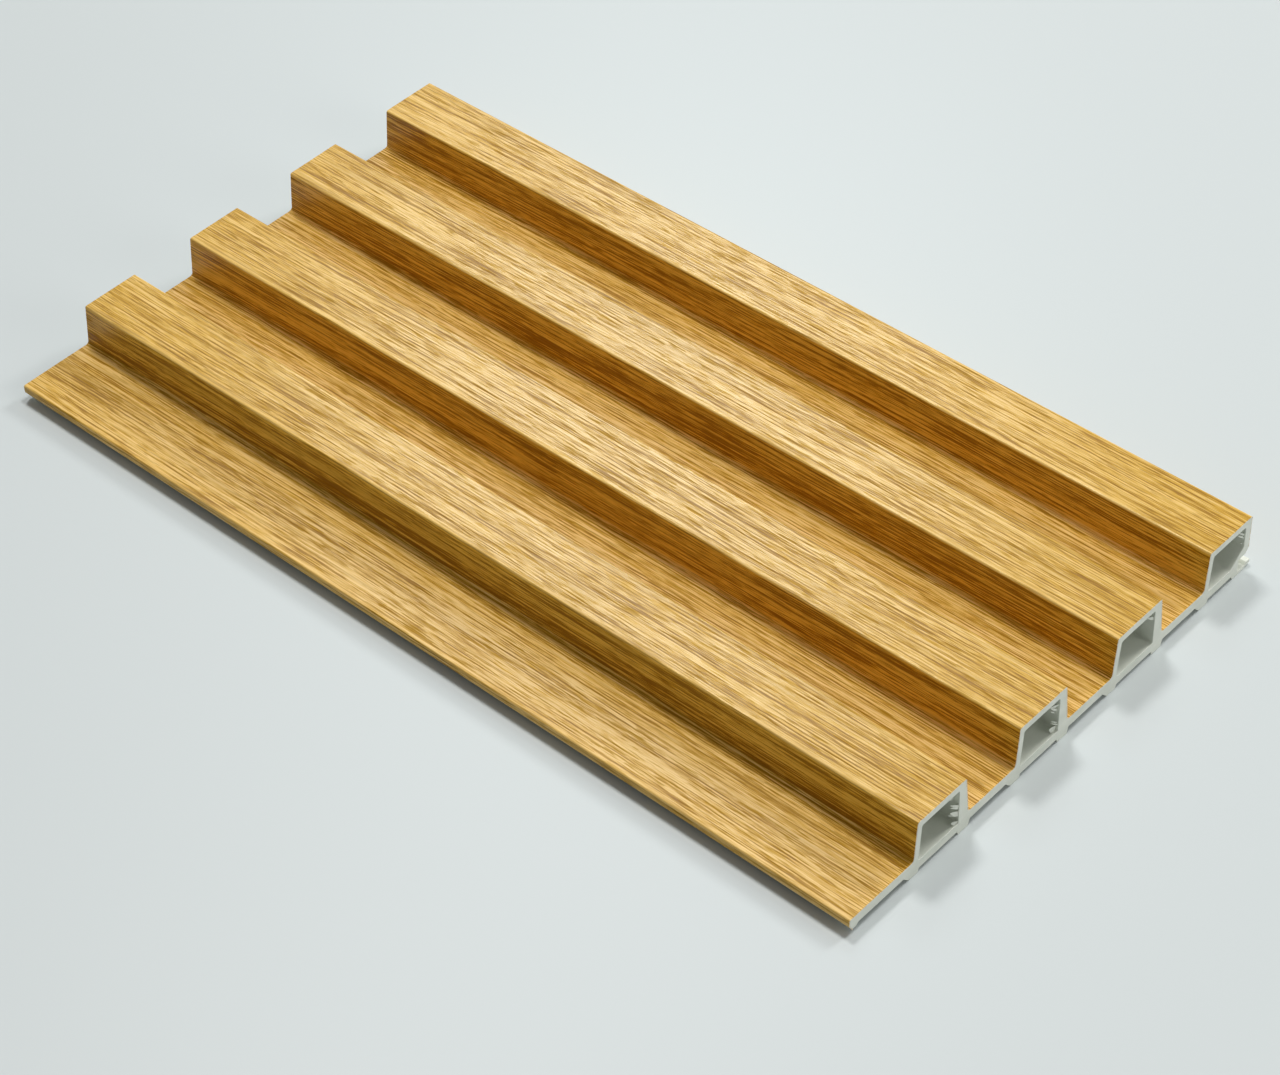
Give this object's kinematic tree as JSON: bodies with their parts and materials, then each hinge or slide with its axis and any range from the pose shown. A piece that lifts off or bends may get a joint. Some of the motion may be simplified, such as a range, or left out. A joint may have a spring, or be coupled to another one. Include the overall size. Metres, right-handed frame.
{
  "type": "fluted composite wall panel",
  "caption": "Hollow extruded wall panel with raised ribs, a wood-grain film on its face, a tongue along one edge and a groove along the other.",
  "frame": {"origin": "bottom centre of the panel's box, on the plane of the feet on its back face", "axes": "+X along the board, +Y across it from the tongue to the groove, +Z out of the decorated face"},
  "size_m": [0.3, 0.1652, 0.0181],
  "materials": {
    "core": "matt, sawn at the ends",
    "film": "satin oak grain"
  },
  "bodies": {
    "root": {"hollow_core": "core", "wood_grain_film": "film"}
  },
  "joints": []
}
